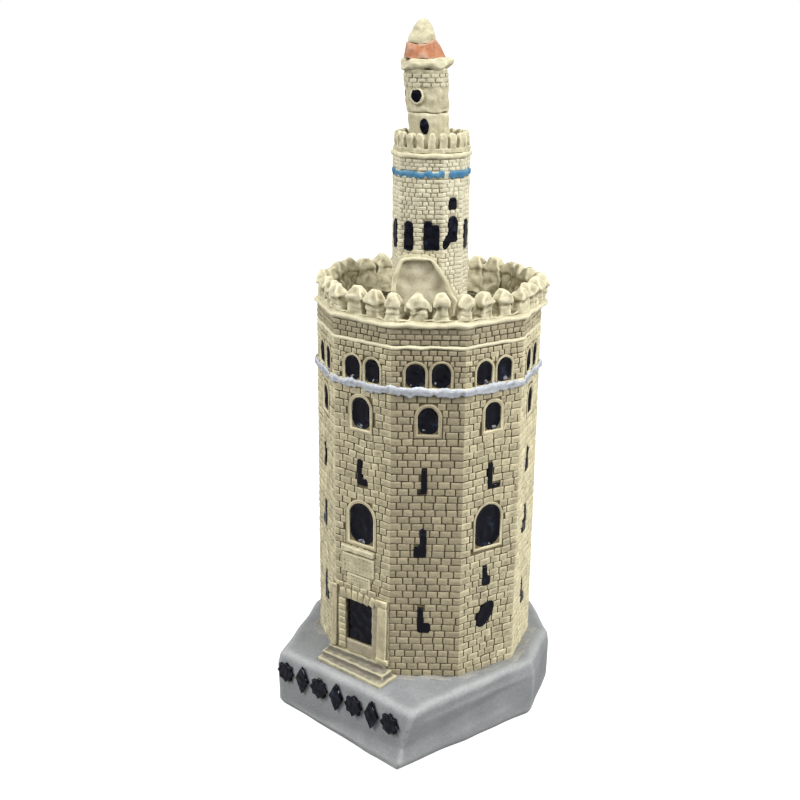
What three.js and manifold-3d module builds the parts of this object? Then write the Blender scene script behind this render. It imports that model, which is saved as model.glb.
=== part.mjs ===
// A miniature ten-sided brick watchtower, cast in resin and painted, standing on a grey plinth.
// Millimetres, +Z up. The origin is on the tower's axis, on the underside of the pad it stands on.
// The door side looks towards -X and -Y, and the middle one of the front walls looks towards -Y.
import * as THREE from "three";
import { mergeVertices } from "three/addons/utils/BufferGeometryUtils.js";
import Module from "manifold-3d";

const wasm = await Module();
wasm.setup();

// ---- Driving dimensions ----
const sides = 10;
const wallCorner = 22.8; // the tower's radius, measured to its corners
const turretCorner = 7.6;
const lanternRadius = 4.25;
const merlonsPerSide = 3;
const crownTeethPerSide = 2;

// Heights above the table, from the pad up to the tip of the spire.
const padTop = 0.5;
const plinthTop = 13.7;
const whiteBandBottom = 73.6;
const whiteBandTop = 75.1;
const stringBottom = 82.5;
const stringTop = 83.4;
const deckTop = 84.4;
const corniceBottom = 86.6;
const corniceTop = 88.3;
const merlonNeck = 90.9;
const merlonTop = 93.3;
const blueBandBottom = 112.5;
const blueBandTop = 114.1;
const turretCorniceBottom = 116.3;
const turretCorniceTop = 117.4;
const crownTop = 121.2;
const lanternBaseTop = 124.7;
const lanternTop = 132.8;
const eavesTop = 134.7;
const tileTop = 137.5;
const totalHeight = 142.1;

// Wall thicknesses, depths and small gaps.
const parapetThickness = 2.0;
const pocketDepth = 0.8; // how far a window is sunk into its wall
const bandStand = 0.45; // how far a band stands out from the wall under it
const fitGap = 0.3; // the space kept between pieces that lie on a slope against each other
const lanternLean = 0.08; // sideways travel of the leaning lantern for each millimetre of height

const sideAngle = (2 * Math.PI) / sides;
const doorSide = -1; // sides are counted to the right from the one that looks towards -Y
const apothem = (cornerRadius) => cornerRadius * Math.cos(sideAngle / 2);
const sideLength = (cornerRadius) => 2 * cornerRadius * Math.sin(sideAngle / 2);

const colours = {
  sand: { color: 0xcfc193, roughness: 0.8 },
  stone: { color: 0xb9ad8c, roughness: 0.85 },
  cream: { color: 0xddd2a4, roughness: 0.75 },
  plinthGrey: { color: 0x84868a, roughness: 0.7 },
  navy: { color: 0x11162b, roughness: 0.35 },
  white: { color: 0xe9e9f0, roughness: 0.55 },
  blue: { color: 0x4fa3d6, roughness: 0.5 },
  terracotta: { color: 0xd2703f, roughness: 0.6 },
  felt: { color: 0x2b2b2d, roughness: 0.95 },
};

// ---- Helpers ----

// A closed geometry as a solid that can be joined and cut.
function solidOf(geometry) {
  const bare = geometry.clone();
  bare.deleteAttribute("normal");
  bare.deleteAttribute("uv");
  const merged = mergeVertices(bare, 1e-3);
  return new wasm.Manifold(
    new wasm.Mesh({
      numProp: 3,
      vertProperties: new Float32Array(merged.attributes.position.array),
      triVerts: new Uint32Array(merged.index.array),
    }),
  );
}

function geometryOf(solid) {
  const mesh = solid.getMesh();
  const geometry = new THREE.BufferGeometry();
  geometry.setAttribute("position", new THREE.BufferAttribute(mesh.vertProperties, 3));
  geometry.setIndex(new THREE.BufferAttribute(mesh.triVerts, 1));
  geometry.computeVertexNormals();
  return geometry;
}

function join(geometries) {
  return geometryOf(geometries.map(solidOf).reduce((whole, piece) => whole.add(piece)));
}

function cut(geometry, tools) {
  const knife = tools.map(solidOf).reduce((whole, piece) => whole.add(piece));
  return geometryOf(solidOf(geometry).subtract(knife));
}

const model = new THREE.Group();

function addPiece(name, geometry, colour) {
  const material = new THREE.MeshStandardMaterial({ ...colours[colour], metalness: 0 });
  const mesh = new THREE.Mesh(geometry, material);
  mesh.name = name;
  model.add(mesh);
}

// A body turned about the Z axis from [radius, height] points that run up its outside.
function turned(profile, segments) {
  const points = profile.map(([radius, height]) => new THREE.Vector2(radius, height));
  const geometry = new THREE.LatheGeometry(points, segments);
  geometry.rotateX(Math.PI / 2);
  return geometry;
}

// The same with flat sides, one of them facing -Y. Radii are to the corners.
const tenSided = (profile) => turned(profile, sides).rotateZ(sideAngle / 2);

// A ten-sided block between two heights.
const block = (cornerRadius, bottom, top) =>
  tenSided([
    [0, bottom],
    [cornerRadius, bottom],
    [cornerRadius, top],
    [0, top],
  ]);

// A ten-sided ring whose inner face is the wall thickness inside its outer corners.
const ring = (inner, outerProfile, bottom, top) =>
  tenSided([[inner, bottom], ...outerProfile, [inner, top], [inner, bottom]]);

// A slab with a rounded nose, for the bands and strings that run round the walls.
const nosedSlab = (cornerRadius, bottom, top, stand) =>
  tenSided([
    [0, bottom],
    [cornerRadius, bottom],
    [cornerRadius + stand, bottom + (top - bottom) * 0.3],
    [cornerRadius + stand, bottom + (top - bottom) * 0.75],
    [cornerRadius + stand * 0.4, top],
    [0, top],
  ]);

// An outline drawn on a wall (x to the right, y up) becomes a body that starts at the given
// distance from the axis and goes outwards by its depth.
function onWall(shape, side, distance, depth) {
  const geometry = new THREE.ExtrudeGeometry(shape, {
    depth,
    bevelEnabled: false,
    curveSegments: 6,
  });
  geometry.rotateX(Math.PI / 2);
  geometry.translate(0, -distance, 0);
  return geometry.rotateZ(side * sideAngle);
}

function archShape(centre, width, bottom, top) {
  const half = width / 2;
  const springing = top - half;
  const shape = new THREE.Shape();
  shape.moveTo(centre - half, bottom);
  shape.lineTo(centre + half, bottom);
  shape.lineTo(centre + half, springing);
  shape.absarc(centre, springing, half, 0, Math.PI, false);
  return shape;
}

function rectangle(left, right, bottom, top) {
  const shape = new THREE.Shape();
  shape.moveTo(left, bottom);
  shape.lineTo(right, bottom);
  shape.lineTo(right, top);
  shape.lineTo(left, top);
  return shape;
}

const pocket = (shape, side, cornerRadius) =>
  onWall(shape, side, apothem(cornerRadius) - pocketDepth, pocketDepth + 1);

// ---- Plinth ----
// Its outline follows the tower, and draws out to two blunt points beside the door side.
const plinthOutline = [
  [-2.1, -35.9],
  [22.6, -13.6],
  [27.1, 0.9],
  [24.3, 14.1],
  [16.9, 22.9],
  [7.4, 26.8],
  [-8.8, 26.8],
  [-18.9, 21.6],
  [-24.7, 12.0],
  [-30.2, -11.7],
].map(([x, y]) => new THREE.Vector2(x, y));

// The outline with every side moved inwards.
function inset(outline, distance) {
  const normalOf = (a, b) => new THREE.Vector2(b.y - a.y, a.x - b.x).normalize();
  return outline.map((corner, i) => {
    const before = outline.at(i - 1);
    const after = outline[(i + 1) % outline.length];
    const n1 = normalOf(before, corner);
    const n2 = normalOf(corner, after);
    const reach = -distance / (1 + n1.dot(n2));
    return corner.clone().addScaledVector(n1.add(n2), reach);
  });
}

// A body lofted through level outlines that all have the same number of corners.
function lofted(levels) {
  const count = levels[0].outline.length;
  const positions = levels.flatMap(({ outline, z }) => outline.flatMap((p) => [p.x, p.y, z]));
  const index = [];
  for (let level = 0; level + 1 < levels.length; level++) {
    for (let i = 0; i < count; i++) {
      const a = level * count + i;
      const b = level * count + ((i + 1) % count);
      index.push(a, b, b + count, a, b + count, a + count);
    }
  }
  const last = (levels.length - 1) * count;
  for (let i = 1; i + 1 < count; i++) {
    index.push(0, i + 1, i);
    index.push(last, last + i, last + i + 1);
  }
  const geometry = new THREE.BufferGeometry();
  geometry.setAttribute("position", new THREE.Float32BufferAttribute(positions, 3));
  geometry.setIndex(index);
  geometry.computeVertexNormals();
  return geometry;
}

const prowFootHeight = 5.0;
const plinthLevels = [
  [padTop, 0.9],
  [padTop + 0.4, 0.2],
  [padTop + 1.6, -0.5],
  [padTop + prowFootHeight, -0.55],
  [plinthTop - 3.2, -0.55],
  [plinthTop - 0.8, -0.2],
  [plinthTop - 0.2, 0.3],
  [plinthTop, 0.9],
];
const padInset = 3.0;
const prowLean = 4.0; // how far the front point's foot lies from its top, along the long side
const prowFlare = 3.0; // how far its lowest part spreads forwards
const frontCorner = plinthOutline.at(0);
const leftCorner = plinthOutline.at(-1);
const longSide = frontCorner.clone().sub(leftCorner);

function plinthLevel([z, distance]) {
  const outline = inset(plinthOutline, distance);
  const share = (plinthTop - z) / (plinthTop - padTop);
  outline[0].addScaledVector(longSide.clone().normalize(), -prowLean * share);
  outline[0].y -= prowFlare * Math.max(0, 1 - (z - padTop) / prowFootHeight);
  return { outline, z };
}

const padLevel = (z) => ({ outline: plinthLevel([padTop, padInset]).outline, z });
addPiece("felt_pad", lofted([0, padTop].map(padLevel)), "felt");
addPiece("plinth", lofted(plinthLevels.map(plinthLevel)), "plinthGrey");

// ---- Raised ornaments on the plinth's long front side ----
const ornamentCount = 7;
const ornamentPitch = 4.95;
const ornamentHeight = 6.3;
const ornamentStand = 0.8;
const ornamentMiddle = 9.7;
const ornamentShift = -1.3; // the row sits a little to the left of the side's middle
const longSideAngle = longSide.angle();
const flareStand = 0.65; // the plinth's side bulges this far past its outline, at mid height

function lozengeShape(width, height) {
  const shape = new THREE.Shape();
  shape.moveTo(0, -height / 2);
  shape.lineTo(width / 2, 0);
  shape.lineTo(0, height / 2);
  shape.lineTo(-width / 2, 0);
  return shape;
}

function starShape(radius) {
  const shape = new THREE.Shape();
  const points = 8;
  const hollow = 0.765; // where two crossed squares meet, as a share of their corner radius
  for (let i = 0; i < 2 * points; i++) {
    const r = i % 2 ? radius * hollow : radius;
    const angle = (Math.PI * i) / points;
    const [x, y] = [r * Math.cos(angle), r * Math.sin(angle)];
    if (i) shape.lineTo(x, y);
    else shape.moveTo(x, y);
  }
  return shape;
}

for (let i = 0; i < ornamentCount; i++) {
  const star = i % 2 === 0;
  const shape = star
    ? starShape(ornamentHeight * 0.38)
    : lozengeShape(ornamentHeight * 0.58, ornamentHeight);
  const geometry = new THREE.ExtrudeGeometry(shape, { depth: ornamentStand, bevelEnabled: false });
  geometry.rotateX(Math.PI / 2);
  const place = (i - (ornamentCount - 1) / 2) * ornamentPitch;
  const along = longSide.length() / 2 + ornamentShift + place;
  geometry.translate(along, -flareStand, ornamentMiddle);
  geometry.rotateZ(longSideAngle);
  geometry.translate(leftCorner.x, leftCorner.y, 0);
  addPiece(`plinth_ornament_${i + 1}`, geometry, "navy");
}

// ---- Tower ----
const wallApothem = apothem(wallCorner);

// The openings of the long lower wall, for each kind of side: [centre, width, bottom, top, arched].
const slitWindow = [-0.6, 1.4, 53.5, 58.8, false];
const roundWindow = [0, 4.0, 65.5, 71.4, true];
const smallSlit = [-0.8, 1.8, 40.0, 46.4, false];
const bigWindow = [-0.3, 6.3, 41.0, 49.9, true];
const lowSlit = [0.1, 1.9, 23.5, 29.1, false];
const lowRound = [-0.6, 4.6, 23.5, 29.0, true];
const upperSlit = [-0.4, 1.8, 32.5, 36.8, false];
const plainSide = [roundWindow, slitWindow, smallSlit, lowSlit];
const windowSide = [roundWindow, slitWindow, bigWindow, upperSlit, lowRound];
const doorWall = [roundWindow, slitWindow, bigWindow];
const doorOpening = { centre: -0.8, width: 6.7, bottom: 18.6, top: 27.9 };

function openingsOf(side) {
  if (side === doorSide) return doorWall;
  return side % 2 ? windowSide : plainSide;
}

function openingShape([centre, width, bottom, top, arched]) {
  if (arched) return archShape(centre, width, bottom, top);
  return rectangle(centre - width / 2, centre + width / 2, bottom, top);
}

const lowerPockets = [];
const galleryPockets = [];
const pairOffset = 2.4;
const pairWidth = 3.7;
const pairTop = 79.9;
for (let i = 0; i < sides; i++) {
  const side = i - sides / 2 + 1;
  for (const opening of openingsOf(side)) {
    lowerPockets.push(pocket(openingShape(opening), side, wallCorner));
  }
  for (const centre of [-pairOffset, pairOffset]) {
    const window = archShape(centre, pairWidth, whiteBandTop + 0.1, pairTop);
    galleryPockets.push(pocket(window, side, wallCorner));
  }
}
const { centre, width, bottom, top } = doorOpening;
const doorHole = rectangle(centre - width / 2, centre + width / 2, bottom, top);
lowerPockets.push(pocket(doorHole, doorSide, wallCorner));

const lowerWall = block(wallCorner, plinthTop, whiteBandBottom);
addPiece("lower_wall", cut(lowerWall, lowerPockets), "sand");
addPiece(
  "white_string_course",
  nosedSlab(wallCorner, whiteBandBottom, whiteBandTop, bandStand),
  "white",
);
addPiece(
  "gallery_wall",
  cut(block(wallCorner, whiteBandTop, stringBottom), galleryPockets),
  "sand",
);
addPiece(
  "upper_string_course",
  nosedSlab(wallCorner - 0.2, stringBottom, stringTop, bandStand),
  "cream",
);

// ---- Door, its surround, the plaques over it and the steps ----
const doorThickness = 0.4;
const doorInset = apothem(wallCorner) - pocketDepth + 0.05;
const doorSlip = 0.1;
const doorLeaf = rectangle(
  centre - width / 2 + doorSlip,
  centre + width / 2 - doorSlip,
  bottom + doorSlip,
  top - doorSlip,
);
addPiece("door_leaf", onWall(doorLeaf, doorSide, doorInset, doorThickness), "navy");

const surroundTop = 30.4;
const surroundOut = 0.7;
const stepsTop = 16.0;
const surround = rectangle(-7.0, 6.9, stepsTop, surroundTop);
surround.holes.push(rectangle(centre - width / 2, centre + width / 2, bottom, top));
addPiece("door_surround", onWall(surround, doorSide, wallApothem, surroundOut), "cream");

// Tablets and a ledge over the door: [name, left, right, bottom, top, how far it stands out].
const tablets = [
  ["upper_plaque", -4.8, 3.2, 34.1, 38.2, 0.5],
  ["lower_plaque", -3.7, 2.3, 31.4, 33.8, 0.4],
  ["window_ledge", -4.9, 3.3, 38.8, 39.9, 0.9],
];
for (const [name, left, right, low, high, out] of tablets) {
  addPiece(name, onWall(rectangle(left, right, low, high), doorSide, wallApothem, out), "cream");
}

// Each tread: [left end, right end, height of its top, how far out at its left, and at its right].
const treads = [
  [-8.6, 6.3, stepsTop, 0.7, 0.7],
  [-8.8, 7.8, stepsTop - 0.75, 2.5, 3.3],
  [-8.6, 9.1, stepsTop - 1.5, 4.1, 5.8],
];

function treadBlock([left, right, treadTop, leftOut, rightOut]) {
  const plan = new THREE.Shape();
  plan.moveTo(left, -wallApothem);
  plan.lineTo(left, -wallApothem - leftOut);
  plan.lineTo(right, -wallApothem - rightOut);
  plan.lineTo(right, -wallApothem);
  const depth = treadTop - plinthTop;
  const geometry = new THREE.ExtrudeGeometry(plan, { depth, bevelEnabled: false });
  return geometry.translate(0, 0, plinthTop).rotateZ(doorSide * sideAngle);
}

addPiece("door_steps", join(treads.map(treadBlock)), "cream");

// ---- Terrace, parapet and battlements ----
const parapetInner = wallCorner - parapetThickness;
addPiece("terrace_deck", block(wallCorner, stringTop, deckTop), "stone");
addPiece(
  "parapet_wall",
  ring(
    parapetInner,
    [
      [wallCorner, deckTop],
      [wallCorner, corniceBottom],
    ],
    deckTop,
    corniceBottom,
  ),
  "stone",
);
addPiece(
  "cornice",
  ring(
    parapetInner,
    [
      [wallCorner, corniceBottom],
      [wallCorner + 0.7, corniceBottom + 0.5],
      [wallCorner + 0.7, corniceBottom + 1.0],
      [wallCorner, corniceTop - 0.3],
    ],
    corniceBottom,
    corniceTop - 0.3,
  ),
  "cream",
);

// One merlon, standing on the walk: a block under an overhanging, pointed cap.
const merlonWidth = 2.4;
const capWidth = 3.1;
const merlonDepth = 1.9;
const rowDistance = wallApothem - parapetThickness / 2;

function squareTapered(levels) {
  const outlineAt = ([z, halfWidth, halfDepth]) => ({
    z,
    outline: [
      new THREE.Vector2(-halfWidth, -halfDepth),
      new THREE.Vector2(halfWidth, -halfDepth),
      new THREE.Vector2(halfWidth, halfDepth),
      new THREE.Vector2(-halfWidth, halfDepth),
    ],
  });
  return lofted(levels.map(outlineAt));
}

const merlon = () =>
  squareTapered([
    [corniceTop - 0.2, merlonWidth / 2, merlonDepth / 2],
    [merlonNeck, merlonWidth / 2, merlonDepth / 2],
    [merlonNeck + 0.25, capWidth / 2, merlonDepth / 2 + 0.3],
    [merlonNeck + 0.75, capWidth / 2, merlonDepth / 2 + 0.3],
    [merlonTop, 0.35, 0.3],
  ]);

// Places along a ten-sided row: every corner, and the points that share each side out evenly.
function alongSides(perSide, distance, make) {
  const placed = [];
  const corner = distance / Math.cos(sideAngle / 2);
  for (let side = 0; side < sides; side++) {
    for (let step = 0; step < perSide; step++) {
      const along = sideLength(corner) * (step / perSide - 0.5);
      const turn = step ? side * sideAngle : (side - 0.5) * sideAngle;
      const offset = step ? along : 0;
      const out = step ? distance : corner - 0.2;
      placed.push(make().translate(offset, -out, 0).rotateZ(turn));
    }
  }
  return placed;
}

const walk = ring(
  parapetInner,
  [
    [wallCorner, corniceTop - 0.3],
    [wallCorner - 0.1, corniceTop],
  ],
  corniceTop - 0.3,
  corniceTop,
);
addPiece("battlements", join([walk, ...alongSides(merlonsPerSide, rowDistance, merlon)]), "cream");

// ---- Turret ----
const turretWindows = [];
const turretWindow = [0, 2.2, 98.8, 104.3, true];
const smallTurretWindow = [0, 1.7, 106.5, 109.0, true];
for (let i = 0; i < sides; i++) {
  turretWindows.push(pocket(openingShape(turretWindow), i, turretCorner));
}
turretWindows.push(pocket(openingShape(smallTurretWindow), 1, turretCorner));
const turretBody = block(turretCorner, deckTop, blueBandBottom);
addPiece("turret_wall", cut(turretBody, turretWindows), "sand");
addPiece("blue_band", block(turretCorner + 0.1, blueBandBottom, blueBandTop), "blue");
addPiece("turret_upper_wall", block(turretCorner, blueBandTop, turretCorniceBottom), "sand");
addPiece(
  "turret_cornice",
  nosedSlab(turretCorner, turretCorniceBottom, turretCorniceTop, bandStand),
  "cream",
);

// The arched hood over the stair door, a thin bent wall that meets the turret.
const hoodThickness = 1.0;
const hoodFront = 10.2;
const hoodBack = 1.5;

// Its outline: up the right side, over the top, and down the left side.
function hoodOutline(grow) {
  const shape = new THREE.Shape();
  shape.moveTo(-8.0 - grow, deckTop);
  shape.lineTo(5.6 + grow, deckTop);
  shape.lineTo(5.6 + grow, 88.1);
  shape.bezierCurveTo(5.2 + grow, 90.5, 2.6 + grow, 95.3, 0.9 + grow, 97.2);
  shape.bezierCurveTo(0.1, 98.1 + grow, -4.7, 98.6 + grow, -5.7 - grow / 2, 97.5 + grow / 2);
  shape.bezierCurveTo(-7.0 - grow, 95.9, -7.4 - grow, 93.7, -8.0 - grow, deckTop);
  return shape;
}

const hoodBody = onWall(hoodOutline(0), 0, hoodBack, hoodFront - hoodBack);
const hoodHollow = onWall(hoodOutline(-hoodThickness), 0, hoodBack - 1, hoodFront + 2);
const hoodFloor = new THREE.BoxGeometry(40, 40, 1.0).translate(0, 0, deckTop - 0.5);
const turretSpace = block(turretCorner + fitGap, deckTop - 1, blueBandTop);
addPiece("stair_hood", cut(hoodBody, [hoodHollow, turretSpace, hoodFloor]), "cream");

// The little crown of teeth that ends the turret.
const crownInner = turretCorner - 1.3;
const toothWidth = 1.45;
const tooth = () =>
  squareTapered([
    [turretCorniceTop + 0.3, toothWidth / 2, 0.6],
    [crownTop - 0.9, toothWidth / 2, 0.6],
    [crownTop - 0.25, toothWidth * 0.38, 0.45],
    [crownTop, toothWidth * 0.18, 0.2],
  ]);
const crownRing = ring(
  crownInner,
  [
    [turretCorner, turretCorniceTop],
    [turretCorner, turretCorniceTop + 0.9],
  ],
  turretCorniceTop,
  turretCorniceTop + 0.9,
);
const toothDistance = apothem(turretCorner) - 0.62;
addPiece(
  "turret_crown",
  join([crownRing, ...alongSides(crownTeethPerSide, toothDistance, tooth)]),
  "cream",
);

// ---- Lantern ----
// It leans: each level slides sideways with its height, so its faces stay level.
const leanStart = 115;
function leaning(geometry) {
  const position = geometry.getAttribute("position");
  for (let i = 0; i < position.count; i++) {
    const slide = lanternLean * (position.getZ(i) - leanStart);
    position.setX(i, position.getX(i) - slide);
  }
  return geometry;
}

const roundSegments = 20;
const groove = 0.2;
const lanternBase = turned(
  [
    [0, turretCorniceTop],
    [lanternRadius - 0.3, turretCorniceTop],
    [lanternRadius - 0.3, lanternBaseTop - groove],
    [lanternRadius - 0.5, lanternBaseTop],
    [0, lanternBaseTop],
  ],
  roundSegments,
);
addPiece("lantern_base", leaning(lanternBase), "sand");
const lanternDrum = turned(
  [
    [0, lanternBaseTop],
    [lanternRadius - 0.35, lanternBaseTop],
    [lanternRadius - 0.1, lanternBaseTop + groove],
    [lanternRadius, lanternTop],
    [0, lanternTop],
  ],
  roundSegments,
);

// The round window has a raised rim, and a pocket sunk into the drum.
const roundSide = -0.78; // in sides, counted as for the walls
const oculusHeight = 127.9;
const rimRadius = 1.5;
const glassRadius = 1.1;
const rimStand = 0.3;
const disc = (radius) => new THREE.Shape().absarc(0, oculusHeight, radius, 0, 2 * Math.PI, false);
const oculusRim = onWall(disc(rimRadius), roundSide, 2, lanternRadius + rimStand - 2);
const oculusPocket = onWall(disc(glassRadius), roundSide, lanternRadius - 0.5, 2);
const drumWithRim = join([lanternDrum, oculusRim]);
addPiece("lantern_drum", leaning(cut(drumWithRim, [oculusPocket])), "sand");
const eaves = turned(
  [
    [0, lanternTop],
    [lanternRadius, lanternTop],
    [lanternRadius + 0.65, lanternTop + 0.5],
    [lanternRadius + 0.65, lanternTop + 1.2],
    [lanternRadius + 0.1, eavesTop],
    [0, eavesTop],
  ],
  roundSegments,
);
addPiece("lantern_eaves", leaning(eaves), "cream");
const tiles = turned(
  [
    [0, eavesTop],
    [lanternRadius - 0.2, eavesTop],
    [lanternRadius - 0.8, (eavesTop + tileTop) / 2],
    [lanternRadius - 1.5, tileTop],
    [0, tileTop],
  ],
  roundSegments,
);
addPiece("tile_roof", leaning(tiles), "terracotta");
const spireFoot = 2.5;
const spireHeight = totalHeight - tileTop;
const spire = turned(
  [
    [0, tileTop],
    [spireFoot, tileTop],
    [spireFoot * 0.9, tileTop + spireHeight * 0.33],
    [spireFoot * 0.64, tileTop + spireHeight * 0.67],
    [spireFoot * 0.32, totalHeight - 0.4],
    [0, totalHeight],
  ],
  roundSegments,
);
addPiece("spire", leaning(spire), "cream");

export default model;
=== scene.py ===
# %% [markdown]
# # A painted miniature watchtower
# This script dresses a small cast tower: ten brick walls, a terrace with battlements, a slim
# turret and a lantern, all on a grey plinth. The solid frame is loaded first and is never moved.
# Every brick, merlon and window that is built here takes its place from that frame.

# %% Load the frame
import math
import random

import bmesh
import bpy
import numpy as np
from mathutils import Matrix, Vector, noise
from mathutils.geometry import tessellate_polygon


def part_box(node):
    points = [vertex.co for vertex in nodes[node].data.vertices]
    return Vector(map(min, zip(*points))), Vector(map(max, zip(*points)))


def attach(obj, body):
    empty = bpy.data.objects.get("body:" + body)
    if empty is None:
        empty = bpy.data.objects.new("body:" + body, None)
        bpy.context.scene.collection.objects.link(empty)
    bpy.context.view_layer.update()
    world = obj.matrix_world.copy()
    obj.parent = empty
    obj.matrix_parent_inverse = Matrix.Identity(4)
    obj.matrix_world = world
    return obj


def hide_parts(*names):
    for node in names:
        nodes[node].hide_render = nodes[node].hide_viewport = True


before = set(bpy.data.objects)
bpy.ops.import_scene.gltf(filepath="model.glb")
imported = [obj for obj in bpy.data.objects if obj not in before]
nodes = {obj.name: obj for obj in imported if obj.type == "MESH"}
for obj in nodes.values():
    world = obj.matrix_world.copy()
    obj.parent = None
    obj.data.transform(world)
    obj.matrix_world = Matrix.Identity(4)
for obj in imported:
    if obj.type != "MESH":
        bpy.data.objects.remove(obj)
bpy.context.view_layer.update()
MM = 0.001
print("frame loaded:", len(nodes), "nodes")

# %% [markdown]
# ## The measures
# The tower is a regular ten-sided prism, and one corner points along +X, so the box of a wall
# gives its corner radius. Everything on a wall is placed by four numbers: which side it is on,
# how far along that side, how high, and how far out from the axis.

# %% Sides, heights and the place of a point on a wall
SIDES = 10
SIDE_ANGLE = 2 * math.pi / SIDES
DOOR_SIDE = -1
ALL_SIDES = range(-4, 6)


def low(node):
    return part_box(node)[0].z / MM


def high(node):
    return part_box(node)[1].z / MM


def apothem(corner):
    return corner * math.cos(SIDE_ANGLE / 2)


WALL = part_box("lower_wall")[1].x / MM
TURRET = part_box("turret_wall")[1].x / MM
TERRACE_INNER = WALL - 2.0


def on_side(side, along, height, out):
    """A point in metres, from millimetres along, up and out from the axis."""
    turn = side * SIDE_ANGLE
    x = along * math.cos(turn) + out * math.sin(turn)
    y = along * math.sin(turn) - out * math.cos(turn)
    return Vector((x, y, height)) * MM


print(f"walls {2 * WALL:.1f} mm across corners, turret {2 * TURRET:.1f} mm")

# %% [markdown]
# ## The camera
# The tower is seen from well above its foot and a little above its terrace, with a normal lens
# from close by, so its walls draw together towards the foot.

# %% Camera
LENS = 56.38
EYE = Vector((-0.00065, -0.24898, 0.14395))
TILT, ROLL, YAW = 0.30368, 0.00906, -0.02054
forward = Vector((math.sin(YAW) * math.cos(TILT), math.cos(YAW) * math.cos(TILT), -math.sin(TILT)))
level_right = Vector((math.cos(YAW), -math.sin(YAW), 0.0))
level_up = level_right.cross(forward)
right = math.cos(ROLL) * level_right + math.sin(ROLL) * level_up
up = math.cos(ROLL) * level_up - math.sin(ROLL) * level_right
camera_data = bpy.data.cameras.new("camera")
camera_data.lens = LENS
camera_data.sensor_width = 36.0
camera_data.clip_start = 0.005
camera = bpy.data.objects.new("camera", camera_data)
turned = Matrix((right, up, -forward)).transposed().to_4x4()
camera.matrix_world = Matrix.Translation(EYE) @ turned
bpy.context.scene.collection.objects.link(camera)
bpy.context.scene.camera = camera
print("camera", tuple(round(v, 4) for v in EYE))

# %% [markdown]
# ## Making meshes
# Small helpers keep the later cells short: one turns points and faces into an object, and one puts a
# finished piece on its body and hides the frame's own piece.

# %% Mesh helpers
def new_object(name, points, faces, materials=()):
    mesh = bpy.data.meshes.new(name)
    mesh.from_pydata([tuple(p) for p in points], [], faces)
    for material in materials:
        mesh.materials.append(material)
    piece = bpy.data.objects.new(name, mesh)
    bpy.context.scene.collection.objects.link(piece)
    return piece


def smooth(piece):
    piece.data.polygons.foreach_set("use_smooth", [True] * len(piece.data.polygons))
    piece.data.update()
    return piece


def merged(mesh, reach=0.001 * MM):
    work = bmesh.new()
    work.from_mesh(mesh)
    bmesh.ops.remove_doubles(work, verts=work.verts, dist=reach)
    work.to_mesh(mesh)
    work.free()
    return mesh


def finished(piece, replaced=()):
    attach(piece, "root")
    if replaced:
        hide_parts(*replaced)
    tris = sum(len(p.vertices) - 2 for p in piece.data.polygons)
    print(f"{piece.name}: {tris} triangles")
    return piece


def evaluated_mesh(piece):
    graph = bpy.context.evaluated_depsgraph_get()
    return bpy.data.meshes.new_from_object(
        piece.evaluated_get(graph), preserve_all_data_layers=True, depsgraph=graph
    )


def set_float(mesh, name, values):
    layer = mesh.attributes.get(name) or mesh.attributes.new(name, "FLOAT", "POINT")
    layer.data.foreach_set("value", np.asarray(values, np.float32))


# %% [markdown]
# ## Relief for the paint
# A cast like this is painted in three passes: a flat coat, a thin dark wash that runs into the
# hollows, and a dry brush of pale cream that catches only the edges. To do the same here, each
# point gets one number: how far it stands above (or sinks below) a smoothed copy of its piece.
# A material can then put the wash where the number is low and the cream where it is high.

# %% Measure the relief of a mesh
def mark_relief(mesh, rounds=8, full=0.12):
    count = len(mesh.vertices)
    place = np.empty(count * 3)
    mesh.vertices.foreach_get("co", place)
    place = place.reshape(-1, 3)
    normal = np.empty(count * 3)
    mesh.vertices.foreach_get("normal", normal)
    normal = normal.reshape(-1, 3)
    edge = np.empty(len(mesh.edges) * 2, int)
    mesh.edges.foreach_get("vertices", edge)
    a, b = edge.reshape(-1, 2).T
    degree = np.maximum(np.bincount(a, minlength=count) + np.bincount(b, minlength=count), 1)
    soft = place.copy()
    for _ in range(rounds):
        total = np.empty_like(soft)
        for axis in range(3):
            column = soft[:, axis]
            total[:, axis] = np.bincount(a, column[b], count) + np.bincount(b, column[a], count)
        soft = 0.3 * soft + 0.7 * total / degree[:, None]
    stand = ((place - soft) * normal).sum(1) / (full * MM)
    set_float(mesh, "relief", np.clip(stand, -1, 1))


# %% [markdown]
# ## Casting a piece again
# The frame's solids have knife-sharp edges. A resin cast hasn't: its edges are round and its
# faces a little wavy. So a copy of the solid is remeshed into small even faces, smoothed until
# the edges give way, and pushed about by a gentle noise. A few pulls, each a place, a reach and
# a push, add the lumps that a worn mould leaves.

# %% Recast a solid with soft edges
# Without a seed of its own this noise starts from the clock, and no two casts come out alike.
noise.seed_set(5)


def wobbled(place, amount, scale, seed):
    shift = Vector((seed * 7.3, seed * 3.1, seed * 5.7))
    return amount * MM * noise.noise_vector(place / (scale * MM) + shift)


def pulled(place, pulls):
    moved = place.copy()
    for centre, reach, push in pulls:
        near = 1 - (place - Vector(centre) * MM).length / (reach * MM)
        if near > 0:
            moved += Vector(push) * MM * near * near * (3 - 2 * near)
    return moved


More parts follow.
